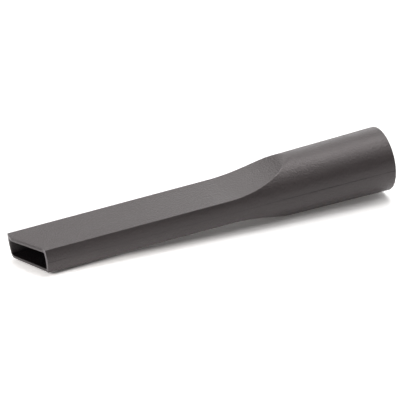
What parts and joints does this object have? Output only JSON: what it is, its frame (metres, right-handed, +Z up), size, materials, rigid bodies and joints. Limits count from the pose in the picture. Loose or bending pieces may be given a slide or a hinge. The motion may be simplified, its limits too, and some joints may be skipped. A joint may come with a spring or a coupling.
{
  "type": "vacuum crevice nozzle",
  "caption": "Hollow tapering crevice nozzle for a vacuum cleaner: a round push-on wand socket narrows through an S-curved shoulder to a flat duct with a slanted slot mouth.",
  "frame": {"origin": "centre of the round socket's mouth, on the wand's axis", "axes": "+X along the wand's axis, out of the socket, so the nozzle runs towards -X; +Y across the flats, towards the square-cut corner of the mouth; +Z up, out of the upper flat"},
  "size_m": [0.2238, 0.0384, 0.0384],
  "materials": {
    "nozzle_plastic": "warm dark grey, fine moulded grain, satin"
  },
  "bodies": {
    "root": {"nozzle_body": "nozzle_plastic"}
  },
  "joints": []
}
